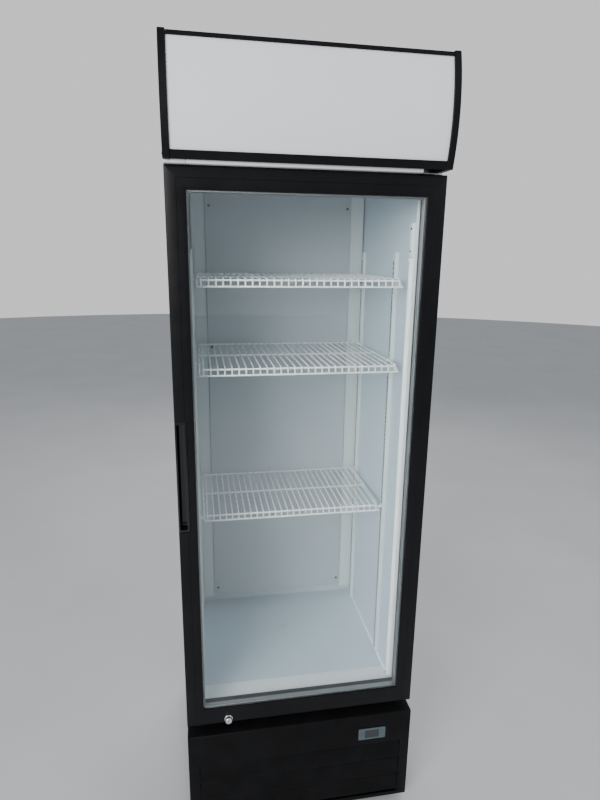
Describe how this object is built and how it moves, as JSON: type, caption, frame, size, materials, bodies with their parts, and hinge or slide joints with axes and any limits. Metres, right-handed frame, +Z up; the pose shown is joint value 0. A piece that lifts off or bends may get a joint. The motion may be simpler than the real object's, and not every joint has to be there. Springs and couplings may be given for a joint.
{
  "type": "glass door merchandiser",
  "caption": "Upright drinks cooler with a framed double-glazed door, wire shelves, louvred base and a blank bowed sign box on top.",
  "frame": {"origin": "centre of the bounding box in plan, on the ground under the feet", "axes": "+Z up; seen from the front +X is to the right and the front faces -Y"},
  "size_m": [0.62, 0.627, 1.9795],
  "materials": {
    "white_steel": "satin",
    "interior_steel": "satin",
    "galvanised_steel": "satin",
    "zinc_steel": "satin",
    "foam": "matte",
    "liner_plastic": "satin",
    "coil_aluminium": "satin",
    "coil_steel": "satin",
    "light_lens": "satin",
    "shelf_wire": "gloss",
    "foot_plastic": "matte",
    "black_plastic": "satin",
    "controller_plastic": "satin",
    "dark_window": "gloss",
    "compressor_enamel": "satin",
    "copper": "satin",
    "grey_plastic": "satin",
    "black_frame": "satin",
    "sign_plastic": "satin",
    "handle_gloss": "gloss",
    "lock_chrome": "polished",
    "glass": "gloss",
    "spacer_aluminium": "satin",
    "gasket_rubber": "matte"
  },
  "bodies": {
    "cabinet": {"left_side_panel": "white_steel", "right_side_panel": "white_steel", "top_panel": "white_steel", "deck_panel": "white_steel", "rear_panel": "galvanised_steel", "foam_insulation": "foam", "inner_liner": "liner_plastic", "rear_duct_panel": "interior_steel", "left_corner_strip": "interior_steel", "right_corner_strip": "interior_steel", "drain_cup": "liner_plastic", "left_front_pilaster": "interior_steel", "left_rear_pilaster": "interior_steel", "right_front_pilaster": "interior_steel", "right_rear_pilaster": "interior_steel", "evaporator_coil": "coil_aluminium", "interior_light": "light_lens", "base_pan": "galvanised_steel", "front_grille": "black_plastic", "controller_body": "controller_plastic", "controller_window": "dark_window", "compressor": "compressor_enamel", "drip_tray": "liner_plastic", "condenser_coil": "coil_steel", "condenser_fan_frame": "coil_steel", "filter_drier": "copper", "electrical_box": "grey_plastic", "cable_gland": "black_plastic", "rear_grille": "galvanised_steel", "canopy_left_end_cap": "black_frame", "canopy_right_end_cap": "black_frame", "canopy_bottom_rail": "black_frame", "canopy_top_rail": "black_frame", "canopy_housing": "white_steel", "sign_panel": "sign_plastic", "canopy_lamp": "light_lens", "top_hinge_bracket": "zinc_steel", "bottom_hinge_bracket": "zinc_steel"},
    "door": {"door_left_stile": "black_frame", "door_right_stile": "black_frame", "door_top_rail": "black_frame", "door_bottom_rail": "black_frame", "handle_insert": "handle_gloss", "top_hinge_bush": "grey_plastic", "bottom_hinge_bush": "grey_plastic", "outer_glass": "glass", "inner_glass": "glass", "glass_spacer": "spacer_aluminium", "door_gasket": "gasket_rubber"},
    "lock": {"lock_barrel": "lock_chrome"},
    "bottom_shelf": {"bottom_shelf": "shelf_wire"},
    "middle_shelf": {"middle_shelf": "shelf_wire"},
    "top_shelf": {"top_shelf": "shelf_wire"},
    "front_left_foot": {"front_left_foot": "foot_plastic"},
    "front_right_foot": {"front_right_foot": "foot_plastic"},
    "rear_left_foot": {"rear_left_foot": "foot_plastic"},
    "rear_right_foot": {"rear_right_foot": "foot_plastic"},
    "condenser_fan": {"condenser_fan_blade": "coil_aluminium"},
    "controller_left_button": {"controller_left_button": "controller_plastic"},
    "controller_right_button": {"controller_right_button": "controller_plastic"}
  },
  "joints": [
    {"name": "door_hinge", "type": "hinge", "parent": "cabinet", "child": "door", "pos_m": [0.293, -0.2485, 1.042], "axis": [0, 0, 1], "range_deg": [0, 105], "stiffness_Nm_per_rad": 1.5, "springref_deg": -8.59},
    {"name": "lock_turn", "type": "hinge", "parent": "door", "child": "lock", "pos_m": [-0.201, -0.2715, 0.358], "axis": [0, 1, 0], "range_deg": [0, 90]},
    {"name": "bottom_shelf_lift", "type": "slide", "parent": "cabinet", "child": "bottom_shelf", "axis": [0, 0, 1], "range_m": [0, 0.03]},
    {"name": "middle_shelf_lift", "type": "slide", "parent": "cabinet", "child": "middle_shelf", "axis": [0, 0, 1], "range_m": [0, 0.03]},
    {"name": "top_shelf_lift", "type": "slide", "parent": "cabinet", "child": "top_shelf", "axis": [0, 0, 1], "range_m": [0, 0.03]},
    {"name": "front_left_foot_screw", "type": "slide", "parent": "cabinet", "child": "front_left_foot", "axis": [0, 0, -1], "range_m": [0, 0.015]},
    {"name": "front_right_foot_screw", "type": "slide", "parent": "cabinet", "child": "front_right_foot", "axis": [0, 0, -1], "range_m": [0, 0.015]},
    {"name": "rear_left_foot_screw", "type": "slide", "parent": "cabinet", "child": "rear_left_foot", "axis": [0, 0, -1], "range_m": [0, 0.015]},
    {"name": "rear_right_foot_screw", "type": "slide", "parent": "cabinet", "child": "rear_right_foot", "axis": [0, 0, -1], "range_m": [0, 0.015]},
    {"name": "condenser_fan_spin", "type": "hinge", "parent": "cabinet", "child": "condenser_fan", "pos_m": [-0.1, -0.1185, 0.1418], "axis": [0, 1, 0], "continuous": true},
    {"name": "controller_left_press", "type": "slide", "parent": "cabinet", "child": "controller_left_button", "axis": [0, 1, 0], "range_m": [0, 0.0008], "stiffness_N_per_m": 900, "springref_m": -0.0006},
    {"name": "controller_right_press", "type": "slide", "parent": "cabinet", "child": "controller_right_button", "axis": [0, 1, 0], "range_m": [0, 0.0008], "stiffness_N_per_m": 900, "springref_m": -0.0006}
  ]
}
